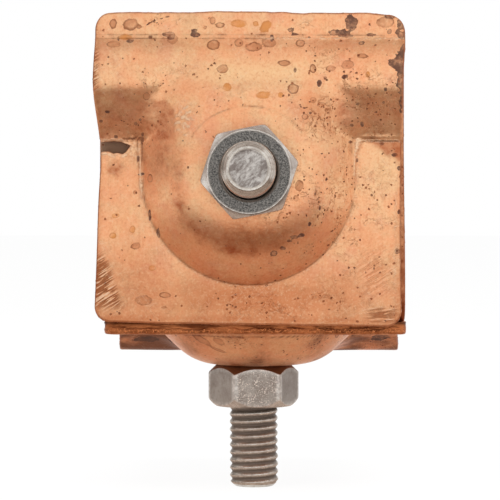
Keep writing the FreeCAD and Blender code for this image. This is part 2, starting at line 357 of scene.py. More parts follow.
def clamp_plate(spacing, cuts, features):
    """Clamp plate in its own frame, with the shapes of its left and right cut."""
    edge = 0.32
    u, v, shares = plate_grid(spacing, edge)
    rows, columns = u.shape
    line_row = int(np.argmin(np.abs(v[:, 0] - CROWN_FOOT)))
    index, quads = grid(rows, columns)

    u = np.append(u.ravel(), u[line_row])
    v = np.append(v.ravel(), v[line_row])
    across = np.append(np.tile(shares, rows), shares)
    twin = rows * columns + np.arange(columns)
    edge_round = np.full(len(u), edge)
    open_column = np.abs(shares) * (PLATE_HALF_WIDTH - SIDE_DRAW_IN) > CUT_TIP
    for column in np.flatnonzero(open_column):
        below = quads[line_row - 1]
        below[below == index[line_row, column]] = twin[column]
    quads = quads.reshape(-1, 4)

    above = v > CROWN_FOOT
    on_line = np.zeros(len(u), dtype=bool)
    on_line[index[line_row]] = True
    on_line[twin] = True
    above[index[line_row]] = True
    above[twin] = False
    reach_up = 1 - np.clip((v - CROWN_FOOT) / 2.5, 0, 1)
    reach_down = 1 - np.clip((CROWN_FOOT - v) / 7.0, 0, 1)
    for cut, sign in zip(cuts, (-1, 1)):
        upper, lower = cut(u * sign)
        here = u * sign > 16.0
        shift = np.where(above, upper * reach_up, -lower * reach_down ** 2)
        v = np.where(here, v + shift, v)
        cut_round = 0.16 if cut is torn_cut else 0.03
        edge_round = np.where(here & on_line & (u * sign > CUT_TIP), cut_round, edge_round)

    hole = np.hypot(u[quads].mean(axis=1), v[quads].mean(axis=1)) < PLATE_HOLE_RADIUS
    quads = quads[~hole]
    rim_vertices = np.zeros(len(u), dtype=bool)
    rim_vertices[quads.ravel()] = True
    radius = np.hypot(u, v)
    near_hole = rim_vertices & (radius < PLATE_HOLE_RADIUS + 0.75 * spacing)
    scale = np.where(near_hole, (PLATE_HOLE_RADIUS + 0.1) / np.maximum(radius, 1e-6), 1)
    u = u * scale
    v = v * scale
    edge_round = np.where(near_hole, 0.1, edge_round)

    w = plate_skin(u, v) + features["dents"](u, v)
    step = 0.02
    slope_u = (plate_skin(u + step, v) - plate_skin(u - step, v)) / (2 * step)
    slope_v = (plate_skin(u, v + step) - plate_skin(u, v - step)) / (2 * step)
    normals = np.stack([-slope_u, -slope_v, np.ones(len(u))], axis=1)
    normals /= np.linalg.norm(normals, axis=1, keepdims=True)
    lip = smoothstep(BOLT_TO_LIP_EDGE - 4, BOLT_TO_LIP_EDGE, v)
    flat_end = smoothstep(BOLT_TO_FLAT_EDGE - 3, BOLT_TO_FLAT_EDGE, -v)
    wave = 0.05 * ripple(u, 0 * u, 9, 11) + 0.03 * ripple(u, 0 * u, 2.6, 12)
    sideways, along = features["outline"](u, v, across)
    pressed_v = v
    v = v + wave * (lip - 0.5 * flat_end) + along
    u = u + sideways
    points = np.stack([u, v, w], axis=1)

    marks = {}
    for mark, shape in features.items():
        if mark in ("lines", "fresh", "grime"):
            marks[mark] = shape(u, pressed_v)
        elif mark not in ("dents", "outline"):
            marks[mark] = shape(u, v)
    back_marks = {"tint": 0.3, "pits": 0.2, "grime": 0.12}
    points, *rest = sheet_solid(points, normals, quads, edge_round, 0.035, 21, marks, back_marks)
    points[:, 2] = np.maximum(points[:, 2], 0)
    return points, *rest


def stand_front(points):
    """From a plate's own frame to the upright leg's outer face."""
    x, y, z = points.T
    return np.stack([x, -z, y], axis=1)


def hang_lower(points):
    """From a plate's own frame to the level leg's underside."""
    x, y, z = points.T
    return np.stack([-x, y + BOLT_TO_FLAT_EDGE, -z - BOLT_TO_FLAT_EDGE], axis=1)


def spot_field(u, v, spots):
    """2 at the middle of the nearest oval spot, 1 at its rim, and 0 well outside them all."""
    field = np.zeros(u.shape)
    for centre_u, centre_v, half_u, half_v in spots:
        away = np.hypot((u - centre_u) / half_u, (v - centre_v) / half_v)
        field = np.maximum(field, 2 - away)
    return field


def dome_away(u, v, radius):
    """Distance outside the dome's outline of one radius: round below, straight up its sides."""
    return np.hypot(u, np.minimum(v, 0)) - radius


# Marks on the front plate, as ovals: middle u and v, half width, half height
PURPLE_SPOTS = [
    (15.3, 23.0, 1.0, 0.9), (15.5, 22.2, 0.95, 0.8), (13.9, 21.4, 1.5, 0.55),
    (12.8, 21.4, 0.6, 0.4), (14.4, 20.9, 1.3, 0.3), (18.3, 21.1, 0.7, 0.25), (22.7, 22.7, 0.6, 1.5),
    (21.6, 23.9, 1.5, 0.3), (22.5, 21.5, 0.5, 0.5), (6.2, 21.7, 0.6, 0.6), (7.0, 21.0, 0.8, 0.25),
    (3.3, 20.5, 0.5, 0.7), (17.0, 19.8, 0.6, 0.4), (22.8, 17.0, 1.5, 1.5), (21.7, 16.8, 0.7, 0.7),
    (23.2, 14.0, 0.9, 2.6), (23.3, 18.8, 0.6, 1.2), (23.2, 10.8, 0.5, 1.6),
    (-12.4, 20.8, 0.95, 0.3), (-12.0, 20.3, 0.5, 0.3), (-8.3, 20.7, 0.8, 0.4),
    (-15.1, 20.4, 0.45, 0.35), (-8.5, 21.4, 0.6, 0.35), (-18.2, 19.7, 1.2, 0.35),
    (-17.0, 1.9, 0.2, 0.55), (-15.1, -6.5, 0.26, 0.95), (-13.75, -9.2, 0.32, 0.75),
    (22.9, -11.7, 0.3, 0.4), (23.0, -5.6, 0.2, 0.4), (4.1, -12.3, 0.6, 0.5), (5.4, -11.4, 0.5, 0.3),
    (7.1, -9.7, 0.6, 0.25), (8.2, -9.4, 0.4, 0.25), (6.3, -10.3, 0.45, 0.25),
    (-20.4, 5.3, 0.35, 0.25), (10.6, 13.5, 0.3, 0.45), (14.4, 14.6, 0.45, 0.35),
    (22.9, 1.0, 0.15, 0.4), (17.3, 7.6, 0.35, 0.5), (-16.3, 5.7, 0.3, 0.35),
    (-16.3, 5.0, 0.22, 0.4), (-17.3, 7.3, 0.22, 0.25), (-16.6, 7.9, 0.18, 0.2),
    (-21.6, 9.0, 0.45, 0.2), (-22.6, 7.6, 0.35, 0.3), (15.5, 4.9, 0.4, 0.3),
    (16.55, 2.1, 0.25, 0.35), (20.3, 4.7, 0.4, 0.25), (23.0, 21.0, 0.7, 1.3),
    (21.2, 21.6, 0.4, 0.5), (-16.4, -0.4, 0.5, 0.25), (22.3, 3.0, 0.4, 0.3),
    (11.9, -0.9, 0.22, 0.35), (10.2, -3.1, 0.2, 0.2), (10.9, -5.3, 0.22, 0.45),
    (9.4, -7.7, 0.28, 0.4), (11.1, 3.0, 0.25, 0.16), (11.6, 2.5, 0.2, 0.16),
    (10.3, -0.2, 0.2, 0.16), (4.9, 0.3, 0.4, 0.2), (5.4, -1.4, 0.3, 0.25), (16.5, 10.6, 0.26, 0.24),
    (15.7, 7.4, 0.35, 0.25), (19.3, 9.4, 0.3, 0.2), (-15.2, 22.6, 0.4, 0.2),
    (-14.6, 22.9, 0.3, 0.2), (-14.1, 22.5, 0.3, 0.18), (-13.5, 23.2, 0.3, 0.2),
    (-12.9, 22.4, 0.3, 0.2), (-12.6, 23.5, 0.45, 0.2), (-15.6, 22.2, 0.25, 0.18),
    (-17.8, 19.8, 0.5, 0.25), (-20.0, 20.0, 0.15, 0.5), (8.4, 9.8, 0.3, 0.2), (9.3, 9.1, 0.2, 0.2),
    (7.7, 10.3, 0.2, 0.15), (20.6, 12.8, 0.25, 0.3), (21.5, 12.0, 0.22, 0.22),
    (20.4, 10.9, 0.2, 0.22), (6.9, 15.6, 0.24, 0.4),
]
BROWN_SPOTS = [
    (-20.8, 22.4, 0.6, 0.8), (-18.1, 22.3, 1.3, 1.0), (-16.8, 22.0, 0.55, 0.3),
    (-5.7, 22.9, 0.5, 0.65), (-4.6, 22.3, 1.0, 0.5), (-6.8, 21.9, 0.35, 0.35),
    (-11.7, 20.0, 0.9, 0.75), (-20.6, 19.2, 1.2, 0.5), (-5.5, 19.2, 1.0, 0.8),
    (-1.6, 19.6, 0.7, 0.7), (0.6, 19.0, 1.5, 0.7), (2.8, 19.8, 1.2, 0.8), (7.6, 19.7, 0.75, 0.6),
    (14.9, 16.5, 1.1, 0.65), (6.6, 12.6, 1.0, 0.9), (-15.1, -1.0, 0.5, 0.7),
    (-17.4, -3.2, 0.35, 0.35), (-12.8, -20.8, 0.5, 0.25), (7.7, -1.9, 0.7, 0.9),
    (7.3, -3.8, 0.5, 0.5), (20.4, 23.0, 1.5, 0.95), (17.0, 17.8, 1.0, 0.4),
    (-15.8, -19.8, 1.4, 0.8), (-12.6, -18.9, 0.9, 0.5), (-17.2, -11.5, 0.9, 0.6),
    (12.3, 15.9, 0.8, 0.4), (-4.0, 15.6, 0.9, 0.7), (9.6, 15.8, 0.6, 0.8), (5.2, 16.6, 1.2, 0.5),
    (-15.6, 11.3, 0.6, 0.6), (9.7, 11.0, 0.5, 0.5), (8.5, 8.5, 0.5, 0.4),
]
ORANGE_SPOTS = [
    (-18.9, 20.3, 1.1, 0.55), (-1.8, 22.5, 1.2, 0.65), (2.3, 22.0, 1.0, 1.0),
    (-3.3, 12.8, 0.7, 0.7), (2.2, 11.7, 1.2, 0.7), (4.8, 11.7, 0.45, 0.45), (-20.7, -9.9, 0.6, 0.5),
    (-20.3, -6.8, 0.6, 0.4), (-17.8, -8.9, 0.5, 0.6), (0.9, 22.6, 0.5, 0.4), (17.9, 15.0, 0.4, 0.5),
    (-14.6, -14.8, 0.6, 0.4),
]


def front_dirt_and_shade(u, v):
    """Blotchy darkening: painted shade in the crease, on the dome's lower-left shoulder, on the crown's
    downward slope, under the right cut, down the dome's left flank and along its foot, and darker
    patches under the nut and below the torn cut.
    """
    broken = 0.55 + 0.45 * ripple(u, v, 2.2, 31)
    # Painted shade in the crease
    crease = 0.22 * bell(v, CREASE - 0.3, 0.5) * broken
    radius = np.hypot(u, np.minimum(v, 0))
    around = np.arctan2(v, u)
    # Painted shade on the dome's lower-left shoulder
    lower_left = smoothstep(-0.9, -1.7, around) + (around > 2.9)
    ring_radius = 10.6 + 1.4 * smoothstep(0, -10, v)
    shoulder = bell(radius, ring_radius, 1.1) * smoothstep(4, 0, v)
    shoulder *= (0.3 + 0.22 * ripple(u, v, 3.0, 32)) * (0.35 + 0.65 * np.clip(lower_left, 0, 1))
    # Darker patch under the nut
    below_nut = hills(u, v, [(0.42, 1.0, -9.6, 7, 2.2)])
    below_nut *= 0.75 + 0.35 * ripple(u, v, 1.8, 33)
    # Painted shade on the crown's downward slope, beside the dome
    wander = 0.4 * ripple(u, v, 5, 35)
    edge_left = np.interp(u, (-23.5, -19.0, -17.0, -15.3, -13.8, -12.6, -11.8, -11.2, -10.9),
                          (12.7, 12.4, 11.6, 10.8, 11.1, 11.0, 10.3, 9.4, 7.0))
    edge_left = np.where(u < -10.9, edge_left, -9)
    edge_right = np.where(u > 11.8, 11.6 - 2.5 * smoothstep(15.5, 12, u), -9)
    reach = np.where(u < 0, edge_left, edge_right) + 0.5 * wander
    softness = 0.5 + 0.6 * (u > 0)
    slope = smoothstep(softness, -softness, v - reach)
    slope *= smoothstep(CROWN_FOOT - 0.5, CROWN_FOOT + 0.4, v) * (1 - 0.4 * (u > 0))
    slope *= 0.3 + 0.1 * ripple(u, v, 2.5, 34) + 0.1 * smoothstep(-18, -13.5, u) * (u < 0)
    slope += hills(u, v, [(0.2, 17.9, 11.0, 1.2, 1.4), (0.3, 13.9, 9.0, 1.2, 1.6)])
    # Painted shadow of the crown on the flat under the right cut
    under = smoothstep(-0.4, 1.4, v - 4.9 + 0.62 * (u - 16.8)) * smoothstep(16.9, 18.5, u)
    slope += 0.62 * under * (v < CROWN_FOOT)
    # Painted shade down the dome's left flank
    trail = 0.32 * bell(u, -13.2, 2.2) * smoothstep(-3, 2, v) * smoothstep(5.6, 3.4, v)
    # Darker patch below the torn cut
    left_tear = hills(u, v, [(0.5, -20.5, 0.2, 1.6, 1.5)])
    # Painted shade along the dome's foot
    foot = bell(dome_away(u, v + DOME_FOOT_SHIFT, 16.2), 0, 0.55)
    foot = 0.26 * foot * broken * (v < CROWN_FOOT)
    return np.clip(crease + shoulder + below_nut + slope + trail + left_tear + foot, 0, 1)


def front_tarnish_shade_highlight(u, v):
    """Painted shade and highlight with a little random tarnish: above 0 the colour deepens, towards the
    bottom and its lower corners, at the sides, beside the dome, just below the crease and under the
    nut; below 0 it lightens in a painted highlight, mainly across the crown's peak.
    """
    total = 1.02 * bell(u, 0.5, 15, 4) * bell(v, -19.4, 4.2) + hills(u, v, [
        (0.3, -15.5, 0.5, 2.5, 5), (0.8, 0.5, -9.5, 8.5, 3.2), (0.75, 10, 9.5, 3, 3),
        (-0.3, 20, 0.5, 3, 3)])
    total += 0.5 * smoothstep(-9, -16, v) * smoothstep(-11, -17, u)
    total += 0.3 * smoothstep(-8, -20, v) * smoothstep(10, 16, u)
    total += 0.15 * bell(v, 19, 1.2) + 0.45 * bell(v, -22.6, 0.6)
    # Darker sides, and the painted highlight across the crown's peak
    total += 0.35 * smoothstep(22.2, 23, np.abs(u)) - 0.62 * bell(v, 14.9, 2.6) * bell(u, 1, 11, 4)
    return np.clip(total + 0.06 * ripple(u, v, 9, 39), -1, 1)


def left_fold(v):
    """Middle, along u, of the fold that runs down from the torn cut's end."""
    return -16.6 - 0.055 * v


def right_fold(v):
    """Middle and half width, along u, of the fold that runs down from the shut cut's end."""
    widening = smoothstep(2.0, 4.9, v)
    return 16.25 + 0.38 * widening, 0.12 + 0.32 * widening


def front_shade_lines(u, v):
    """Painted shade in thin dark strokes: along the dome's outline, the crease, the folds beside the
    cuts, the pinched and torn cuts and an arc above the seat.
    """
    away = dome_away(u, v + DOME_FOOT_SHIFT, DOME_OUTLINE)
    outline = 0.6 * bell(away, 0, 0.16) * (v < CROWN_FOOT)
    crease = 1.1 * bell(v, CREASE, 0.1) * smoothstep(3, 0, u) + 0.9 * bell(v, CREASE + 0.52, 0.1)
    crease *= 0.8 + 0.35 * ripple(u, 0 * v, 3, 37)
    middle, half = right_fold(v)
    fold = 1.8 * bell(u, middle + 1.6 * half, 0.17) * smoothstep(0.8, 2.2, v)
    fold += 1.5 * bell(u, 15.7, 0.2) * smoothstep(2.4, 3.6, v)
    fold += 0.8 * bell(np.abs(u - left_fold(v)), 0.3, 0.12) * smoothstep(-4, -1, v)
    fold *= v < CROWN_FOOT
    pinched = 5.2 - 0.9 * smoothstep(19.1, 20.3, u) + 0.1 * ripple(u, 0 * u, 2, 36)
    pinch = 1.5 * bell(v, pinched, 0.17)
    pinch *= (u > 15.9) * smoothstep(21.0, 20.4, u)
    crack = 1.6 * bell(v, 5.08 + 0.1 * ripple(u, 0 * u, 1.2, 46), 0.15)
    crack *= smoothstep(-20.0, -18.8, u) * smoothstep(-15.8, -16.4, u)
    arc = bell(np.hypot(u, v), 10.0, 0.13) * (v > 5.0) * (u < 8.0) * (u > -8.6)
    arc *= smoothstep(-0.2, 0.6, ripple(u, v, 6, 36) + 0.4)
    return np.clip(outline + crease + fold + pinch + crack + 0.7 * arc, 0, 1)


def front_pits(u, v):
    """How thickly the small corrosion pits lie."""
    total = 0.06 + hills(u, v, [
        (1.4, 16, 10, 7, 5.5), (1.3, -20, 6.4, 4.5, 1.8), (0.5, 15, -8, 7, 8),
        (1.5, -13.5, 22.6, 2.6, 0.8), (0.5, 10, 22.3, 3, 0.9), (0.45, -12, 13, 9, 3.0),
        (0.45, 9, -5.5, 7, 6.5), (0.4, -1, -20.8, 8, 1.5), (0.3, 9, -19.5, 8, 2.5),
        (0.8, 10.7, 18.9, 4.5, 1.0)])
    return np.clip(total * (0.8 + 0.5 * ripple(u, v, 5, 38)), 0, 1)


def front_hatch(u, v):
    """Where tool scratches run together: slanting ones above 0, level ones below it."""
    reach = -19.3 - 0.33 * (v + 20.0)
    left = smoothstep(0.5, -0.9, u - np.minimum(reach, -18.3)) * smoothstep(-22.0, -20.0, v)
    left *= smoothstep(-11.5, -14.5, v)
    right = 0.9 * bell(u, 20.8, 2.2, 4) * bell(v, -21.6, 1.2, 4)
    crown = 0.9 * smoothstep(-22.5, -23.3, u) * smoothstep(11.5, 13, v) * smoothstep(20, 17, v)
    middle = hills(u, v, [(0.35, 19.5, -15.0, 2.5, 3.5)])
    return np.clip(left + crown + middle - right, -1, 1)


def front_bare_metal_and_highlight(u, v):
    """Bare metal along the torn cut, and painted highlights on the folds, the crease, the pinched
    edges, the right edge, the dome's foot and a crumpled patch.
    """
    upper, lower = torn_cut(-u)
    out = smoothstep(-16.6, -17.6, u)
    torn = 0.9 * bell(v, CROWN_FOOT - lower - 0.25, 0.4) * out
    torn = np.maximum(torn, 1.3 * bell(v, CROWN_FOOT + upper + 0.1, 0.22) * out)
    torn = np.maximum(torn, hills(u, v, [(0.8, -17.7, 3.2, 0.7, 1.3)]))
    middle, half = right_fold(v)
    fold = 1.4 * bell(u, middle, half) * smoothstep(-2.0, 0.8, v) * (v < 5.05)
    fold += 1.2 * bell(u, left_fold(v), 0.15) * smoothstep(-5, -3, v) * (v < 4.4)
    pinch = 1.2 * bell(v, CROWN_FOOT + 0.02, 0.2) * (u > 16.4)
    pinch += 0.8 * bell(u, 22.6, 0.22) * (v < 2) * (0.5 + 0.5 * ripple(v, 0 * v, 2, 47))
    away = dome_away(u, v + DOME_FOOT_SHIFT, DOME_OUTLINE)
    pinch += 0.5 * bell(away, 0.36, 0.14) * (v < 2)
    bump = hills(u, v, [(1.9, -9.8, 8.0, 1.3, 2.4)])
    bump *= np.maximum(0.45 + 1.1 * ripple(u, v, 0.9, 48), 0)
    crease = 0.9 * bell(v, CREASE, 0.13) * smoothstep(1, 4, u)
    return np.clip(torn + fold + pinch + bump + crease, 0, 1.5)


def front_dents(u, v):
    """Pressing marks: waviness, folds beside the dome where the cuts end, and the torn metal."""
    height = 0.045 * ripple(u, v, 16, 41) + 0.012 * ripple(u, v, 4.5, 42)
    fold_left = bell(u, left_fold(v), 0.2) * smoothstep(-6, -3, v)
    fold_left *= smoothstep(CROWN_FOOT + 0.3, CROWN_FOOT - 0.5, v)
    middle, half = right_fold(v)
    fold_right = bell(u, middle, 1.2 * half) * smoothstep(-3, 0.5, v)
    fold_right *= smoothstep(CROWN_FOOT + 0.5, CROWN_FOOT - 0.2, v)
    height += 0.16 * fold_left + (0.14 + 0.28 * smoothstep(1.5, 4.5, v)) * fold_right
    torn = bell(u, -20.2, 3.0) * bell(v, 2.4, 1.2) * (v < CROWN_FOOT)
    height += torn * (0.16 * ripple(u, v, 1.5, 43) - 0.06)
    crumpled = bell(u, -19.5, 3.4, 4) * bell(v, 5.0, 0.6) * (v >= CROWN_FOOT)
    height += crumpled * (0.12 + 0.16 * ripple(u, v, 1.1, 44))
    height += hills(u, v, [(0.05, -10.2, 8.4, 1.1, 2.4)]) * ripple(u, v, 1.3, 49)
    height += 0.16 * bell(u, 19.5, 3.4, 4) * bell(v, 5.3, 0.35) * (v >= CROWN_FOOT)
    groove = bell(dome_away(u, v + DOME_FOOT_SHIFT, 16.5), 0, 0.3)
    height -= 0.06 * groove * (v < CROWN_FOOT)
    return height


def front_outline(u, v, across):
    """How the front plate's outline strays: its crown spreads, its ends sag and its top twists."""
    left = 0.5 * bell(v, 13.2, 6.2) - 0.3 * bell(v, 2, 5.2) + 0.05
    right = 0.26 - 0.16 * bell(v, 15, 5) - 0.26 * smoothstep(20, 23, v)
    sideways = right * np.maximum(across, 0) ** 6 - left * np.maximum(-across, 0) ** 6
    along = 0.15 * smoothstep(0, 4.8, v) - 0.22 * smoothstep(-17, -23, v)
    along += 0.35 * smoothstep(20.9, 24.2, v) - 0.4 * smoothstep(6.5, 13, v)
    along += 0.0092 * u * smoothstep(-2, 5, v)
    along -= 0.13 * smoothstep(-17, -23, v) * smoothstep(-19, -13, u)
    top = 0.2 * bell(u, -3, 6.5, 4) - 0.12 * bell(u, 8, 1.5)
    top -= 0.42 * smoothstep(17.2, 22.5, u) - 0.12 * smoothstep(3, 5, u) * smoothstep(6.5, 5, u)
    along += top * smoothstep(20.9, 24.2, v)
    return sideways, along


def lower_outline(u, v, across):
    """The lower plate's crown spreads to both sides."""
    return 0.5 * bell(v, 15, 7) * np.sign(across) * np.abs(across) ** 6, 0 * v


FRONT_FEATURES = {
    "dents": front_dents,
    "outline": front_outline,
    "purple": lambda u, v: spot_field(u, v, PURPLE_SPOTS),
    "small": lambda u, v: spot_field(u, v, [s for s in PURPLE_SPOTS if max(s[2:]) < 0.5]),
    "brown": lambda u, v: spot_field(u, v, BROWN_SPOTS),
    "orange": lambda u, v: spot_field(u, v, ORANGE_SPOTS),
    "lines": front_shade_lines,
    "grime": front_dirt_and_shade,
    "tint": front_tarnish_shade_highlight,
    "pits": front_pits,
    "hatch": front_hatch,
    "fresh": front_bare_metal_and_highlight,
}

LOWER_SPOTS = [
    (-9.5, -21.0, 1.6, 0.5), (11.0, -19.0, 0.9, 0.4), (-14.5, 21.8, 1.2, 0.7),
    (19.0, 9.5, 2.0, 0.9), (-20.5, 9.0, 1.6, 1.2), (-17.0, 7.0, 1.3, 0.6), (14.6, 7.5, 0.35, 2.5),
]
LOWER_BROWN = [
    (6.0, -12.5, 1.6, 0.3), (14.0, 19.0, 0.9, 0.6), (8.6, -13.0, 1.5, 0.8), (5.9, -14.3, 0.9, 0.6),
    (0.0, -10.4, 1.3, 0.3), (-14.5, -7.5, 0.5, 1.6), (-13.0, -9.5, 0.4, 1.3),
]


def lower_dirt_and_shade(u, v):
    """Dirt on the lower plate, and painted shade on its crown's slope, where the mark is heaviest."""
    # Painted shade on the crown's slope
    slope = (0.62 + 0.012 * u + 0.3 * ripple(u, v, 4, 57)) * smoothstep(4.5, 7, v)
    return np.clip(0.3 * ripple(u, v, 7, 53) + 0.1 + slope, 0, 0.95)


def lower_tarnish_and_shade(u, v):
    """Tarnish on the lower plate, deepened towards its crown by painted shade."""
    return np.clip(0.5 + 0.2 * ripple(u, v, 14, 56) + 0.5 * smoothstep(5, 10, v), 0, 1)


LOWER_FEATURES = {
    "dents": lambda u, v: 0.03 * ripple(u, v, 15, 51) + 0.01 * ripple(u, v, 4, 52),
    "outline": lower_outline,
    "purple": lambda u, v: spot_field(u, v, LOWER_SPOTS),
    "brown": lambda u, v: spot_field(u, v, LOWER_BROWN),
    "orange": lambda u, v: spot_field(u, v, [(-6.5, 20.0, 0.8, 0.6)]),
    # Painted shade along the dome's outline
    "lines": lambda u, v: bell(dome_away(u, v, 16.35), 0, 0.13) * (v < CROWN_FOOT + 0.4),
    "grime": lower_dirt_and_shade,
    "tint": lower_tarnish_and_shade,
    "pits": lambda u, v: np.clip(0.2 + 0.3 * ripple(u, v, 12, 54), 0, 1),
    "hatch": lambda u, v: np.clip(ripple(u, v, 18, 55) - 1.1, 0, 1),
}


# Folded angle

def angle_bracket():
    """Folded angle as one bent sheet, its skin facing the two plates."""
    edge = 0.28
    spacing = 0.4
    bend = BEND_INNER_RADIUS + SHEET
    top = BOLT_TO_LIP_EDGE
    rear = BOLT_TO_FLAT_EDGE + BOLT_TO_LIP_EDGE
    radius = CORNER_RADIUS - edge
    level = rear - bend - edge
    around = bend * math.pi / 2
    upright = top + BOLT_TO_FLAT_EDGE - bend - edge
    total = level + around + upright
    lower_bolt = rear - edge - BOLT_TO_FLAT_EDGE
    front_bolt = total - (top - edge)
    stops = [radius, lower_bolt - NECK_HOLE_HALF, lower_bolt + NECK_HOLE_HALF, level,
             level + around, front_bolt - NECK_HOLE_HALF, front_bolt + NECK_HOLE_HALF,
             total - radius]
    rows = with_corners(stretch(stops, spacing), 0, total, radius, 15)
    reach = PLATE_HALF_WIDTH - edge
    half = rounded_half(reach, rows, 0, total, radius)
    widths = stretch([-reach, -NECK_HOLE_HALF, NECK_HOLE_HALF, reach], spacing)
    u = np.outer(half, widths / reach)
    s = np.repeat(rows[:, None], len(widths), axis=1)
    quads = grid(*u.shape)[1]

    angle = np.clip((s - level) / bend, 0, math.pi / 2)
    y = np.where(s < level, rear - edge - s, bend * (1 - np.sin(angle)))
    rise = np.maximum(s - level - around, 0)
    z = -BOLT_TO_FLAT_EDGE + bend * (1 - np.cos(angle)) + rise
    normals = np.stack([0 * u, -np.sin(angle), -np.cos(angle)], axis=2)
    right_shift = 0.3 - 0.25 * smoothstep(total - 42, total - 18, s)
    u = u + BRACKET_SHIFT + (right_shift - BRACKET_SHIFT) * (u / PLATE_HALF_WIDTH + 1) / 2
    wave = 0.02 * ripple(u, s, 18, 61)
    points = np.stack([u, y, z], axis=2) + np.minimum(wave, 0)[:, :, None] * normals
    middle_u = (u[:-1, :-1] + u[1:, 1:]) / 2
    middle_s = (s[:-1, :-1] + s[1:, 1:]) / 2
    in_hole = np.zeros(middle_u.shape, dtype=bool)
    for bolt_at in (lower_bolt, front_bolt):
        in_hole |= (np.abs(middle_u) < NECK_HOLE_HALF) & (np.abs(middle_s - bolt_at) < NECK_HOLE_HALF)
    quads = quads[~in_hole]
    u = u.ravel()
    s = s.ravel()
    from_bolt = np.minimum(np.abs(s - lower_bolt), np.abs(s - front_bolt))
    near_hole = (np.abs(u) < NECK_HOLE_HALF + 0.2) & (from_bolt < 5)
    in_bend = bell(s, level + around / 2, 3)
    marks = {
        "grime": np.clip(0.5 + 0.3 * ripple(u, s, 12, 62) + 0.4 * in_bend, 0, 1),
        "pits": np.clip(0.25 + 0.3 * ripple(u, s, 14, 63), 0, 1),
        # Painted shade on the upright behind the torn cut, doubled so that it fills fully
        "purple": 2 * spot_field(u, s - front_bolt, [(-21.5, 3.4, 6.0, 4.0)]),
        "tint": np.clip(0.4 + 0.3 * ripple(u, s, 16, 64), 0, 1),
    }
    return sheet_solid(points.reshape(-1, 3), normals.reshape(-1, 3), quads,
                       np.where(near_hole, 0.02, edge), 0.03, 22, marks,
                       {"tint": 0.35, "pits": 0.25, "grime": 0.15})


# Turned and threaded pieces

class Rings:
    """Rings of a turned piece in order, each with radius, height and further values all round."""

    def __init__(self, segments):
        self.angles = np.linspace(0, 2 * math.pi, segments, endpoint=False)
        self.across = np.cos(self.angles)
        self.up = np.sin(self.angles)
        self.rows = []

    def add(self, *values):
        self.rows.append([value + 0 * self.angles for value in values])

    def columns(self):
        return np.array(self.rows).transpose(1, 0, 2)


def lathe_solid(radii, heights, angles, closed):
    """Surface of rings, each with its own radius and height at every angle.

    A closed one runs from its last ring back to its first. An open one ends in two middles."""
    rings, segments = radii.shape
    x = radii * np.cos(angles)
    y = radii * np.sin(angles)
    points = np.stack([x, y, heights], axis=2).reshape(-1, 3)
    index = np.arange(rings * segments).reshape(rings, segments)
    following = np.roll(index, -1, axis=1)
    quads = np.stack([index[:-1], following[:-1], following[1:], index[1:]], axis=2).reshape(-1, 4)
    if closed:
        last = np.stack([index[-1], following[-1], following[0], index[0]], axis=1)
        return points, np.concatenate([quads, last]), []
    bottom = points[index[0]].mean(axis=0)
    top = points[index[-1]].mean(axis=0)
    points = np.concatenate([points, [bottom, top]])
    bottom_index = rings * segments
    triangles = [(bottom_index, following[0, k], index[0, k]) for k in range(segments)]
    triangles += [(bottom_index + 1, index[-1, k], following[-1, k]) for k in range(segments)]
    return points, quads, triangles


def soft_polygon(angles, turn, half, sides, sharpness):
    """Radius of a polygon with slightly rounded corners, half its width across flats."""
    total = np.zeros(angles.shape)
    for side in range(sides):
        facing = np.cos(angles - turn - math.pi / sides - 2 * math.pi * side / sides)
        total += np.maximum(facing, 0) ** sharpness
    return half / total ** (1 / sharpness)


def thread_radius(angles, heights, crest, root):
    """Radius of a right-handed thread with worn, rounded crests."""
    turns = heights / THREAD_PITCH - angles / (2 * math.pi)
    return root + (crest - root) * (0.5 + 0.5 * np.cos(2 * math.pi * turns)) ** 0.85


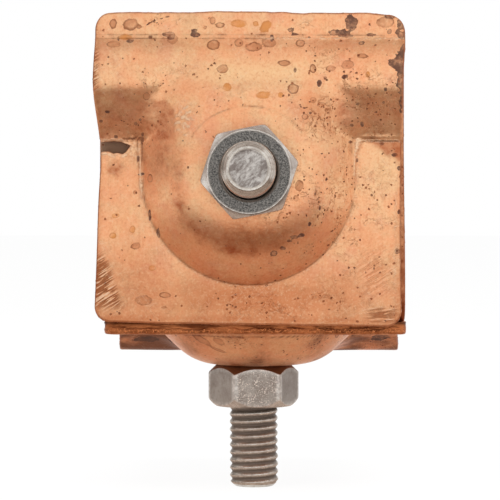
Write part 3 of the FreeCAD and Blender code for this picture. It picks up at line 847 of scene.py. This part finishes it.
def bolt():
    """Square-neck bolt along its own axis, from the middle of its head to its end."""
    rings = Rings(BOLT_SEGMENTS)
    angles = rings.angles
    seat = -SHEET
    end = seat + BOLT_LENGTH
    rise = HEAD_HEIGHT - HEAD_RIM
    cap_radius = (HEAD_RADIUS ** 2 + rise ** 2) / (2 * rise)

    def ring(radius, height, limit=None):
        rings.add(radius, height, radius if limit is None else limit)

    for radius in np.linspace(0.6, HEAD_RADIUS - 0.25, 16):
        sag = cap_radius - math.sqrt(cap_radius ** 2 - radius ** 2)
        ring(radius, seat - HEAD_HEIGHT + sag)
    square = soft_polygon(angles, math.pi / 4, NECK_HALF, 4, 34)
    for radius, height in (
            (HEAD_RADIUS - 0.05, -HEAD_RIM - 0.05), (HEAD_RADIUS, 0.1 - HEAD_RIM),
            (HEAD_RADIUS, -0.2), (HEAD_RADIUS - 0.15, 0), (HEAD_RADIUS - 1.0, 0),
            (square + 0.3, 0), (square, 0.05)):
        ring(radius, seat + height)
    for height in np.linspace(seat + 0.4, seat + NECK_LENGTH - 0.3, 8):
        ring(square, height)
    ring(square - 0.15, seat + NECK_LENGTH - 0.05)
    crest = THREAD_RADIUS
    root = THREAD_RADIUS - THREAD_DEPTH
    thread_start = seat + NECK_LENGTH + 0.02
    chamfer_start = end - BOLT_END_CHAMFER
    for height in np.arange(thread_start, end - 0.02, THREAD_STEP):
        radius = thread_radius(angles, height, crest, root)
        limit = crest - max(height - chamfer_start, 0) + 0.04 * ripple(angles * 3, 0 * angles, 5, 71)
        run_in = smoothstep(thread_start, thread_start + 1.2, height)
        radius = radius * run_in + (crest - 0.1) * (1 - run_in)
        limit = np.where(height > chamfer_start, limit, crest)
        ring(np.minimum(radius, limit), height, limit)
    lip = crest - BOLT_END_CHAMFER
    for inset, depth in ((0.03, 0.02), (0.1, 0), (0.22, 0), (0.32, 0.06)):
        ring(lip - inset, end - depth)
    for radius in np.linspace(lip - 0.45, 0.2, 26):
        cup = 0.16 * smoothstep(lip - 0.3, lip - 0.8, radius)
        x = radius * rings.across
        y = radius * rings.up
        scar = 0.05 * ripple(x, 1.6 * y + x, 4.4, 72) + 0.03 * ripple(x, y, 0.9, 73)
        scar += 0.09 * smoothstep(-0.25, 0.25, 0.7 * x + 0.3 - y)
        scar *= smoothstep(lip - 0.3, lip - 0.9, radius)
        ring(radius, end - 0.06 - cup + scar)
    radii, heights, limits = rings.columns()
    points, quads, triangles = lathe_solid(radii, heights, angles, False)
    number = np.arange(len(radii))[:, None] + 0 * limits
    end_face = number > len(radii) - 27
    threaded = (number > 30) & (number < len(radii) - 30)
    # Painted shade in the thread roots; painted highlights on the crests and the end's lip, with
    # turning marks on the chamfer
    grooves = np.where(threaded, 1.5 * np.clip((limits - radii) / (crest - root), 0, 1) ** 0.7, 0)
    turned_rings = 0.45 + 0.3 * np.cos(2 * math.pi * heights / 0.28)
    highlight_and_turning_strength = np.where(heights > chamfer_start, turned_rings, 0.9)
    crests = np.where(threaded, highlight_and_turning_strength * smoothstep(-0.05, -0.005, radii - limits), 0.0)
    crests = np.where((number >= len(radii) - 30) & (number <= len(radii) - 28), 0.7, crests)
    marks = {"rough_face": np.append(end_face, [0, 1]), "shade": np.append(grooves, [0, 0]),
             "shine": np.append(crests, [0, 0])}
    return points, quads, triangles, marks


def nut(turn):
    """Hexagon nut from its seat up, with both chamfers, countersunk mouths and a threaded bore."""
    rings = Rings(NUT_SEGMENTS)
    angles = rings.angles
    hexagon = soft_polygon(angles, turn, NUT_HALF_FLATS, 6, 60)

    def ring(radius, height, face=0.0, shine=0.0, shade=0.0):
        rings.add(radius, height, face, shine, shade)

    def chamfer_drop(radius):
        past = radius - NUT_FACE_RADIUS
        return past * math.tan(NUT_CHAMFER) + 0.38 * past ** 2

    seat_slope = math.tan(NUT_SEAT_CHAMFER)
    top = NUT_HEIGHT - chamfer_drop(hexagon)
    low = (hexagon - NUT_SEAT_RADIUS) * seat_slope
    # Painted shade on the hexagon's side faces, lighter on one of them
    side_shade = 0.72 + 0.2 * (rings.across < 0)
    side_shade = np.where(np.cos(angles + math.pi / 2 - turn) > 0.866, 0.66, side_shade)
    corner = smoothstep(7.12, 7.3, hexagon)
    mouth_radius = NUT_MOUTH_RADIUS - 0.2
    mouth = mouth_radius - NUT_BORE_RADIUS
    for height in np.arange(mouth, NUT_HEIGHT - mouth, NUT_THREAD_STEP):
        groove = thread_radius(-angles, -height, 0.3, 0.0)
        ring(NUT_BORE_RADIUS + groove, height, 0.4)
    # Painted shade in the countersunk mouth
    for radius, depth, mouth_shade in (
            (NUT_BORE_RADIUS + 0.3, mouth - 0.3, 1.5), (mouth_radius - 0.15, 0.25, 1.4),
            (mouth_radius - 0.05, 0.1, 1.1)):
        ring(radius, NUT_HEIGHT - depth, shade=mouth_shade)
    # Painted highlight on the mouth's lip
    ring(mouth_radius + 0.03, NUT_HEIGHT - 0.05, 0.5, 0.3)
    for radius in np.linspace(mouth_radius + 0.15, NUT_FACE_RADIUS - 0.3, 14):
        rough = 0.015 * ripple(radius * rings.across, radius * rings.up, 0.8, 81)
        ring(radius, NUT_HEIGHT - 0.06 + rough, 1.0)
    # Painted highlight on the face's edge ring
    for outward, depth, *marks in ((-0.18, 0.05, 0.7, 0.2), (-0.12, 0, 0, 1), (0, 0, 0, 1),
                                   (0.07, 0.05)):
        ring(NUT_FACE_RADIUS + outward, NUT_HEIGHT - depth, *marks)
    # Painted highlights on the chamfer and the hexagon's edges and corners
    for share in (0.3, 0.6, 0.88, 0.97):
        radius = NUT_FACE_RADIUS + 0.07 + (hexagon - NUT_FACE_RADIUS - 0.09) * share
        ring(radius, NUT_HEIGHT - chamfer_drop(radius), 0.0, 0.55)
    ring(hexagon - 0.015, top - 0.04, 0.0, 0.9)
    for share in (0, 0.1, 0.3, 0.5, 0.7, 0.9, 1):
        edge = 0.7 if share in (0, 1) else 0.0
        ring(hexagon, top - 0.12 - (top - low - 0.24) * share, 0.0, np.maximum(edge, corner), side_shade)
    ring(hexagon - 0.015, low + 0.04, 0.0, 0.6)
    # Painted shade and copper reflection on the seat chamfer
    for share in (0.97, 0.8, 0.4, 0.0):
        radius = NUT_SEAT_RADIUS + (hexagon - NUT_SEAT_RADIUS - 0.02) * share
        ring(radius, (radius - NUT_SEAT_RADIUS) * seat_slope + 0.01, 0.0, 0.0, 2.2)
    for radius in (NUT_SEAT_RADIUS - 0.08, 5.6, 5.1, mouth_radius + 0.05):
        ring(radius, 0.0, 0.5)
    ring(mouth_radius - 0.1, 0.15, 0.4)
    ring(NUT_BORE_RADIUS + 0.25, mouth - 0.2, 0.4)
    radii, heights, face, shine, shade = rings.columns()
    points, quads, triangles = lathe_solid(radii, heights, angles, True)
    points[:, 2] += SHEET + DOME_HEIGHT
    marks = {"rough_face": face.ravel(), "shine": shine.ravel(), "shade": shade.ravel()}
    return points, quads[:, ::-1], triangles, marks


# Materials

def linear(red, green, blue):
    """Screen colour, 0 to 255 a channel, as a linear colour."""
    channels = [value / 255 for value in (red, green, blue)]
    low = [c / 12.92 if c < 0.04045 else ((c + 0.055) / 1.055) ** 2.4 for c in channels]
    return (*low, 1.0)


class Value:
    """Number that nodes work out, for use in plain sums and products."""

    def __init__(self, mix, socket):
        self.mix = mix
        self.socket = socket

    def __add__(self, other):
        return self.mix.maths("ADD", self, other)

    def __sub__(self, other):
        return self.mix.maths("SUBTRACT", self, other)

    def __mul__(self, other):
        return self.mix.maths("MULTIPLY", self, other)

    def __abs__(self):
        return self.mix.maths("ABSOLUTE", self)

    def larger(self, other):
        return self.mix.maths("MAXIMUM", self, other)

    def below(self, limit):
        return self.mix.maths("LESS_THAN", self, limit)

    def clamped(self):
        return self.mix.maths("ADD", self, 0.0, clamp=True)

    def span(self, low, high, to_low=0.0, to_high=1.0):
        """The value taken smoothly from one range to another."""
        inputs = {"Value": self, "From Min": low, "From Max": high, "To Min": to_low,
                  "To Max": to_high}
        made = self.mix.node("ShaderNodeMapRange", inputs, interpolation_type="SMOOTHSTEP")
        return Value(self.mix, made.outputs["Result"])


class Recipe:
    """Short calls for building the nodes of a material or of the world."""

    def __init__(self, owner):
        self.owner = owner
        owner.use_nodes = True
        self.tree = owner.node_tree
        self.colour = None
        self.normal = None

    def put(self, value, socket):
        """Links a worked-out value to a socket, or writes a plain one there."""
        value = getattr(value, "socket", value)
        if isinstance(value, bpy.types.NodeSocket):
            self.tree.links.new(value, socket)
        else:
            socket.default_value = value

    def node(self, kind, inputs=(), **settings):
        made = self.tree.nodes.new(kind)
        for setting, value in settings.items():
            setattr(made, setting, value)
        for socket, value in dict(inputs).items():
            self.put(value, made.inputs[socket])
        return made

    def place(self, scale=(1, 1, 1), turn=0):
        """Object coordinates, turned by an angle in degrees about the y axis and then scaled."""
        where = self.node("ShaderNodeTexCoord").outputs["Object"]
        rotation = (0, math.radians(turn), 0)
        facing = self.node("ShaderNodeMapping", {"Vector": where, "Rotation": rotation})
        scaled = self.node("ShaderNodeMapping", {"Vector": facing.outputs[0], "Scale": scale})
        return scaled.outputs[0]

    def noise(self, scale, detail=3.0, rough=0.5, where=None, distortion=0.0):
        inputs = {"Vector": where or self.place(), "Scale": scale, "Detail": detail,
                  "Roughness": rough, "Distortion": distortion}
        return Value(self, self.node("ShaderNodeTexNoise", inputs).outputs["Fac"])

    def mark(self, name):
        return Value(self, self.node("ShaderNodeAttribute", attribute_name=name).outputs["Fac"])

    def maths(self, operation, first, second=0.0, clamp=False):
        made = self.node("ShaderNodeMath", {0: first, 1: second}, operation=operation,
                         use_clamp=clamp)
        return Value(self, made.outputs[0])

    def blend(self, share, first, second):
        """Mixes two colours, each a screen colour or one that nodes work out."""
        made = self.node("ShaderNodeMix", data_type="RGBA")
        self.put(share, made.inputs[0])
        for colour, socket in ((first, made.inputs[6]), (second, made.inputs[7])):
            self.put(linear(*colour) if isinstance(colour, tuple) else colour, socket)
        return made.outputs[2]

    def paint(self, share, colour):
        """Covers a share of the surface's colour so far with another one."""
        self.colour = self.blend(share, self.colour, colour)

    def emboss(self, height, distance, strength):
        inputs = {"Height": height, "Distance": distance, "Strength": strength}
        if self.normal is not None:
            inputs["Normal"] = self.normal
        self.normal = self.node("ShaderNodeBump", inputs).outputs["Normal"]

    def surface(self, shader):
        self.put(shader, self.tree.nodes["Material Output"].inputs["Surface"])
        return self.owner

    def finish(self, metal, rough):
        shader = self.tree.nodes["Principled BSDF"]
        parts = {"Base Color": self.colour, "Metallic": metal, "Roughness": rough,
                 "Normal": self.normal}
        for socket, value in parts.items():
            self.put(value, shader.inputs[socket])
        return self.owner


def pits_in(mix, scale, chance, small, large):
    """Scattered round pits: a random share of a cell pattern's middles."""
    wobble = mix.node("ShaderNodeTexNoise", {"Vector": mix.place(), "Scale": 1.3 * scale})
    where = mix.node("ShaderNodeVectorMath", {0: wobble.outputs["Color"], 1: (0.9 / scale,) * 3,
                                              2: mix.place()}, operation="MULTIPLY_ADD")
    cells = mix.node("ShaderNodeTexVoronoi", {"Vector": where.outputs[0], "Scale": scale})
    dice = mix.node("ShaderNodeSeparateColor", {"Color": cells.outputs["Color"]})
    radius = Value(mix, dice.outputs[1]) * (large - small) + small
    inside = (radius - cells.outputs["Distance"]).span(-0.02, 0.14)
    return inside * Value(mix, dice.outputs[0]).below(chance)


def stain(mix, name, wander, inner, inner_share, rim, rim_share):
    """Adds the stains that one mark places, each with a ragged outline and a darker rim."""
    mark = mix.mark(name)
    level = mark + wander
    inside = level.span(0.0, 0.12) * mark.span(0.5, 0.75)
    border = inside * level.span(0.5, 0.1)
    # A mark above 2 always fills fully: the painted shade behind the torn cut
    varied = mix.noise(520, 4, 0.65).span(0.36, 0.6, 0.35, 1.0).larger(mark.span(2.05, 2.5))
    share = inside * inner_share * varied
    mix.paint(share, inner)
    mix.paint(border * mix.noise(380, 2).span(0.4, 0.58, 0.25, 1.0) * rim_share, rim)
    return share


def copper(name, along, tarnish, dirt_and_shade_colour=(178, 86, 46), deep=(98, 66, 54), gap_shade=0.75):
    """Rolled copper: satin, brushed along one axis, stained, pitted and sheared at its edges."""
    mix = Recipe(bpy.data.materials.new(name))
    fine = mix.noise(2900, 3, 0.65)
    medium = mix.noise(1150, 5, 0.65)
    cloud = mix.noise(330, 4, 0.6)
    patches = mix.noise(230, 5, 0.62)
    streaks = mix.noise(1.0, 3, 0.6, mix.place([110 if axis == along else 3000 for axis in "XYZ"]))
    tone = cloud * 0.5 + mix.noise(75, 4, 0.55) * 0.5
    mix.colour = mix.blend(tone.span(0.38, 0.62), (255, 183, 135), (255, 204, 155))
    mix.paint(patches.span(0.5, 0.66, 0, 0.36), (240, 160, 128))
    mix.paint(patches.span(0.46, 0.32, 0, 0.3), (255, 206, 150))
    mix.paint(streaks.span(0.48, 0.75, 0, 0.22), (228, 138, 94))
    # Tarnish and painted shade deepen the colour; below 0 the mark paints a highlight
    tint = mix.mark("tint")
    mix.paint((tint * cloud.span(0.3, 0.62, 0.8, 1.0)).clamped(), (214, 137, 92))
    mix.paint(tint.span(0.0, -1.0), (255, 214, 162))
    mix.paint(medium.span(0.48, 0.72, 0, 0.22), (226, 136, 90))
    mix.paint(medium.span(0.5, 0.3, 0, 0.16), (255, 212, 168))
    mix.paint(fine.span(0.5, 0.74, 0, 0.36), (214, 120, 78))
    mix.paint(fine.span(0.48, 0.28, 0, 0.3), (255, 222, 184))

    # Painted shade and soiling from the mark, broken up by noise
    dirt_and_shade_mark = mix.mark("grime")
    grime = dirt_and_shade_mark + (medium - 0.5) * 0.7 + (cloud - 0.5) * 0.7
    grime = grime.span(0.02, 0.95) * dirt_and_shade_mark.span(0.02, 0.2)
    mix.paint(grime, dirt_and_shade_colour)
    mix.paint(mix.noise(160, 6, 0.72).span(0.56, 0.78, 0, tarnish), (168, 98, 66))

    # Thin winding lines, where a noise passes through its middle value
    pitted = mix.mark("pits")
    winding = abs(mix.noise(620, 5, 0.62, None, 0.8) - 0.5).span(0.022, 0.0044)
    wrinkles = winding * pitted.span(0.1, 0.8, 0.2, 1.0) * cloud.span(0.42, 0.58)
    mix.paint(wrinkles * 0.55, (166, 90, 50))

    wander = mix.noise(480, 3, 0.5) * 2.2 + mix.noise(1700, 3) - 2.6
    calm = wander * 0.5 - 0.5
    stain(mix, "orange", calm, (226, 146, 76), 0.8, (184, 108, 64), 0.4)
    brown = stain(mix, "brown", calm, (192, 124, 84), 0.7, (130, 74, 46), 0.75)
    purple = stain(mix, "purple", wander, deep, 0.95, tuple(0.75 * c for c in deep), 0.6)
    mix.paint(mix.mark("purple").span(1.2, 1.6) * mix.mark("small").span(0.2, 0.8) * 0.75,
              (104, 52, 32))

    # Painted shade in thin dark strokes from the mark
    lines = mix.mark("lines") * mix.noise(330, 4, 0.6).span(0.4, 0.6, 0.25, 1)
    mix.paint(lines * 0.85, (120, 60, 36))

    chance = pitted * mix.noise(300, 3, 0.6).span(0.42, 0.62, 0.25, 1.5) * 0.5 + 0.01
    pit = pits_in(mix, 2300, chance, 0.16, 0.5)
    pit = pit.larger(pits_in(mix, 1100, pitted * 0.1 + 0.003, 0.12, 0.3))
    mix.paint(pit * 0.85, mix.blend(mix.noise(700, 2).span(0.42, 0.58), (98, 44, 22), (160, 86, 48)))

    slanting = mix.noise(1.0, 2, 0.55, mix.place((400, 400, 3800), 33))
    level = mix.noise(1.0, 2, 0.55, mix.place((330, 330, 2600), 9))
    hatched = mix.mark("hatch")
    chosen = mix.node("ShaderNodeMix", {0: hatched.below(0.0), 2: slanting, 3: level})
    hatch_lines = Value(mix, chosen.outputs[0])
    hatch = abs(hatched) * hatch_lines.span(0.46, 0.56)
    mix.paint(hatch * 0.8, (156, 84, 46))
    mix.paint(abs(hatched) * hatch_lines.span(0.44, 0.38) * 0.55, (255, 222, 190))

    for turn, length_scale in ((38, 230), (-52, 210), (12, 190)):
        scratch = mix.noise(1.0, 2, 0.5, mix.place((length_scale, length_scale, 6200), turn))
        scratch = scratch.span(0.655, 0.7) * cloud.span(0.46, 0.6) * purple.span(0.0, 0.5, 0.2, 0.0)
        mix.paint(scratch, (255, 220, 188))

    # Bare torn metal and painted highlights from the mark, worn through in places
    bare_and_highlight_mark = mix.mark("fresh")
    fresh = (bare_and_highlight_mark - mix.noise(2300, 3, 0.6).span(0.58, 0.42, 0.0, 0.6)).clamped()
    mix.paint(fresh * 0.85, (255, 216, 178))

    depth = mix.mark("depth")
    rim = depth.span(0.003, 0.04) * medium.span(0.36, 0.6, 0.4, 0.9) * depth.span(0.999, 0.99)
    mix.paint(rim, (176, 104, 66))
    wall = depth.span(0.08, 0.2) * depth.span(0.995, 0.96)
    torn = wall * (mix.noise(420, 3, 0.6) * 0.7 + depth).span(0.9, 0.72)
    grain = mix.noise(3000, 3, 0.7)
    sheared = mix.noise(1.0, 4, 0.65, mix.place((190, 190, 1300)))
    # Sheared edges: dark partly with oxide and partly with painted shade under the overlapping plates
    wall_colour = mix.blend(sheared.span(0.38, 0.62), (108, 52, 24), (202, 122, 74))
    wall_colour = mix.blend(mix.noise(95, 3).span(0.52, 0.66, 0, 0.55), wall_colour, (96, 62, 42))
    # Painted shade in the gap between sheets, on the back part of each edge
    wall_colour = mix.blend(depth.span(0.6, 0.88, 0, gap_shade), wall_colour, (74, 34, 14))
    mix.paint(wall * (bare_and_highlight_mark * -0.75 + 0.92), wall_colour)
    # Bright specks on the rough torn zone of the edges: painted glints
    mix.paint(torn * grain.span(0.48, 0.62), (232, 146, 92))

    mix.emboss(streaks, 0.00001, 0.5)
    mix.emboss(fine, 0.00002, 0.7)
    mix.emboss(medium, 0.00006, 0.7)
    mix.emboss(cloud, 0.00012, 0.6)
    mix.emboss(pit.larger(wrinkles * 0.6) * -1.0, 0.00007, 0.9)
    mix.emboss(hatch * -1.0, 0.00007, 0.9)
    mix.emboss(lines * -1.0, 0.00005, 0.8)
    mix.emboss(torn * grain, 0.00012, 1.0)
    mix.emboss(fresh, 0.00008, 0.8)
    dull = (brown * 0.4 + purple).clamped()
    metal = (dull * -0.45 + 1.0) * pit.span(0, 1, 1, 0.8)
    rough = mix.noise(210, 4, 0.6) * 0.16 + fine * 0.12 + dull * 0.2 + grime * 0.1 + 0.25
    return mix.finish(metal, rough.clamped())


def stainless(name, light, dark, marked_low, marked_high, grain_scale, grain_twist):
    """Stainless steel: satin, lightly scratched, with its own grain where a face is rough."""
    mix = Recipe(bpy.data.materials.new(name))
    fine = mix.noise(3600, 3, 0.65)
    medium = mix.noise(1500, 4, 0.65)
    cloud = mix.noise(420, 4, 0.6)
    grain = mix.noise(grain_scale, 5, 0.68, mix.place((1.0, 1.0, grain_twist), 42), 0.25)
    mix.colour = mix.blend(cloud.span(0.35, 0.65), light, dark)
    mix.paint(medium.span(0.52, 0.72, 0, 0.45), (112, 100, 92))
    mix.paint(fine.span(0.44, 0.3, 0, 0.5), (226, 220, 212))
    face_colour = mix.blend(grain.span(0.38, 0.62), marked_low, marked_high)
    face_colour = mix.blend(fine.span(0.5, 0.7, 0, 0.3), face_colour, (78, 72, 70))
    rough_face = mix.mark("rough_face")
    mix.paint(rough_face, face_colour)
    shade = mix.mark("shade")
    # Painted shade from the mark: thread roots, the nut's countersinks and its side faces
    shade_share = (shade * 0.66).clamped()
    mix.paint(shade_share, (106, 93, 83))
    # Painted copper reflection and shade, brown, on the nut's seat chamfer
    mix.paint(shade.span(1.5, 2.0), (112, 70, 44))
    scuffs = mix.noise(5600, 2, 0.6).span(0.52, 0.6, 0, 0.95)
    scuffs = scuffs * mix.noise(900, 2).span(0.4, 0.6, 0.25, 1.0)
    mix.paint(scuffs * shade.span(0.1, 0.4) * shade.span(0.71, 0.68), (250, 238, 226))
    # Painted highlights on edges, corners, chamfers and thread crests, and the bolt end's turning marks
    mix.paint(mix.mark("shine") * medium.span(0.36, 0.56, 1.0, 0.45) * 0.85, (238, 234, 228))

    mix.emboss(fine, 0.000015, 0.6)
    mix.emboss(medium, 0.00003, 0.6)
    mix.emboss(grain * rough_face, 0.00008, 0.8)
    rough = cloud * 0.14 + shade_share * 0.15 + rough_face * 0.14 + 0.2
    return mix.finish(shade_share * -0.6 + 1.0, rough.clamped())


# Studio

def panel(name, place, size, material):
    """Flat rectangle for the stage, facing up."""
    x = size[0] / 2
    y = size[1] / 2
    mesh = bpy.data.meshes.new(name)
    mesh.from_pydata([(-x, -y, 0), (x, -y, 0), (x, y, 0), (-x, y, 0)], [], [(0, 1, 2, 3)])
    mesh.materials.append(material)
    return in_scene(name, mesh, place)


def seen_plainly(mix):
    """1 for what the camera sees straight, mirrored or through glass, and 0 for other light."""
    rays = mix.node("ShaderNodeLightPath").outputs
    straight = mix.maths("MAXIMUM", rays["Is Camera Ray"], rays["Is Glossy Ray"])
    return straight.larger(rays["Is Transmission Ray"])


def white_backdrop(name, solid, keep):
    """Plain pale surface that shows white, with part of its own shading kept for the shadow."""
    mix = Recipe(bpy.data.materials.new(name))
    shader = mix.tree.nodes["Principled BSDF"]
    shader.inputs["Base Color"].default_value = linear(236, 236, 235)
    shader.inputs["Roughness"].default_value = 0.9
    shader.inputs["Specular IOR Level"].default_value = 0.1
    glow = mix.node("ShaderNodeEmission", {"Color": (1, 1, 1, 1), "Strength": solid})
    joined = mix.node("ShaderNodeMixShader", {0: seen_plainly(mix) * (1 - keep),
                                              1: shader.outputs[0], 2: glow.outputs[0]})
    return mix.surface(joined.outputs[0])


def world_light(strength):
    """Even light, seen as plain white behind the object."""
    world = bpy.data.worlds.new("studio")
    bpy.context.scene.world = world
    mix = Recipe(world)
    background = mix.tree.nodes["Background"]
    background.inputs["Color"].default_value = (1, 1, 1, 1)
    level = mix.node("ShaderNodeMapRange", {"Value": seen_plainly(mix), "To Min": strength,
                                            "To Max": 1.0})
    mix.put(level.outputs["Result"], background.inputs["Strength"])


def aim(thing, target):
    direction = np.array(target) - np.array(thing.location)
    horizontal = math.hypot(direction[0], direction[1])
    tilt = math.atan2(horizontal, -direction[2])
    thing.rotation_euler = (tilt, 0, math.atan2(direction[1], direction[0]) - math.pi / 2)


def soft_light(name, place, size, power):
    light = bpy.data.lights.new(name, "AREA")
    light.shape = "RECTANGLE"
    light.size = size[0]
    light.size_y = size[1]
    light.energy = power
    lamp = in_scene(name, light, place)
    lamp.visible_camera = False
    lamp.visible_glossy = False
    aim(lamp, (0, 0.01, 0))


def card(name, place, target, size, shade):
    """Flat card that only shows in reflections."""
    mix = Recipe(bpy.data.materials.new(name))
    glow = mix.node("ShaderNodeEmission", {"Color": (*shade, 1), "Strength": 1.0})
    sheet = panel(name, place, size, mix.surface(glow.outputs[0]))
    aim(sheet, target)
    sheet.visible_camera = False
    sheet.visible_diffuse = False
    sheet.visible_shadow = False


def camera():
    data = bpy.data.cameras.new("camera")
    data.lens = 169.0
    data.sensor_width = 36.0
    data.clip_start = 0.01
    data.clip_end = 20.0
    view = in_scene("camera", data, (0.00695, -0.362, -0.00463))
    view.rotation_euler = (math.radians(90 - 1.147), 0, math.radians(1.123))
    bpy.context.scene.camera = view


# The object

def add_piece(name, shape, place, material, body):
    """Piece from a shape in its own frame and the function that sets its points in place."""
    points, quads, triangles, marks = shape
    piece = mesh_object(name, place(points), quads, triangles, marks)
    piece.data.materials.append(material)
    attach(piece, body)
    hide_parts(name.removesuffix("_look"))


def turned(points, angle, shift):
    cosine = math.cos(angle)
    sine = math.sin(angle)
    x = points[:, 0] * cosine - points[:, 1] * sine + shift
    y = points[:, 0] * sine + points[:, 1] * cosine
    return np.stack([x, y, points[:, 2]], axis=1)


def leaning(points, across, along):
    """Bolt whose end beyond the nut stands a little to one side."""
    lean = smoothstep(SHEET + DOME_HEIGHT + NUT_HEIGHT, BOLT_LENGTH - SHEET, points[:, 2])
    return points + np.outer(lean, (across, along, 0))


def front_plate_place(points):
    return stand_front(turned(points, FRONT_PLATE_TURN, FRONT_PLATE_SHIFT))


def lower_plate_place(points):
    return hang_lower(points) + np.array([LOWER_PLATE_SHIFT, LOWER_PLATE_SETBACK, 0])


plate_copper = copper("plate_copper", "Z", 0.35)
lower_copper = copper("lower_plate_copper", "Y", 0.5, (134, 84, 56))
# The bracket's deep colour is the painted shade seen through the torn cut
bracket_copper = copper("bracket_copper", "Z", 0.6, (150, 78, 46), (140, 112, 90), 0.0)
bolt_steel = stainless("bolt_steel", (200, 190, 178), (172, 160, 148), (140, 130, 124),
                       (210, 204, 198), 620, 2.0)
nut_steel = stainless("nut_steel", (208, 199, 190), (180, 169, 160), (84, 84, 82),
                      (160, 156, 151), 4600, 1.0)

add_piece("seam_clamp_plate_look", clamp_plate(0.25, (torn_cut, shut_cut), FRONT_FEATURES),
          front_plate_place, plate_copper, "seam_plate")
add_piece("conductor_clamp_plate_look", clamp_plate(0.3, (shut_cut, shut_cut), LOWER_FEATURES),
          lower_plate_place, lower_copper, "conductor_plate")
add_piece("angle_bracket_look", angle_bracket(), lambda points: points, bracket_copper,
          "bracket")
bolt_shape = bolt()
add_piece("seam_bolt_look", bolt_shape, lambda points: stand_front(leaning(points, 0.15, 0.28)),
          bolt_steel, "bracket")
add_piece("conductor_bolt_look", bolt_shape, lambda points: hang_lower(leaning(points, -0.08, 0)),
          bolt_steel, "bracket")
add_piece("seam_nut_look", nut(FRONT_NUT_TURN), stand_front, nut_steel, "seam_fastener")
add_piece("conductor_nut_look", nut(LOWER_NUT_TURN), hang_lower, nut_steel,
          "conductor_fastener")

bpy.context.scene.view_settings.view_transform = "Standard"
camera()
world_light(0.45)
panel("floor", (0, 0, cad_low.z - 0.0001), (6, 6), white_backdrop("floor", 1.06, 0.12))
soft_light("key", (0.12, -0.55, 0.75), (0.7, 0.5), 7.0)
soft_light("fill", (-0.6, -0.5, 0.15), (0.4, 0.7), 2.5)
# Cards in what the metal mirrors: name, place, what it faces, size, shade
low = cad_low.z + 0.0004
for name, place, target, size, shade in (
        ("dim_below", (0.0, 0.02, low), (0.0, 0.02, 0.5), (0.24, 0.10), (0.62, 0.50, 0.43)),
        ("dark_front", (0.0, -0.058, low), (0.0, -0.058, 0.5), (0.26, 0.056), (0.22, 0.16, 0.13)),
        ("dim_left", (-0.40, -0.12, 0.0), (0, -0.02, 0), (0.5, 0.55), (0.60, 0.53, 0.50)),
        ("dim_right", (0.45, -0.06, 0.0), (0, -0.06, 0), (0.62, 0.5), (0.80, 0.75, 0.73)),
        ("dark_stripe", (-0.10, -0.30, -0.02), (0, 0.02, -0.04), (0.03, 0.3), (0.10, 0.09, 0.09)),
        ("dark_left", (-0.34, 0.26, -0.03), (0, 0.02, -0.03), (0.36, 0.4), (0.22, 0.20, 0.185)),
        ("dark_right", (0.34, 0.30, -0.03), (0, 0.02, -0.03), (0.3, 0.4), (0.42, 0.38, 0.36)),
        ("dim_top", (0.0, -0.16, 0.5), (0, 0, 0), (0.9, 0.55), (0.56, 0.50, 0.47))):
    card(name, place, target, size, shade)
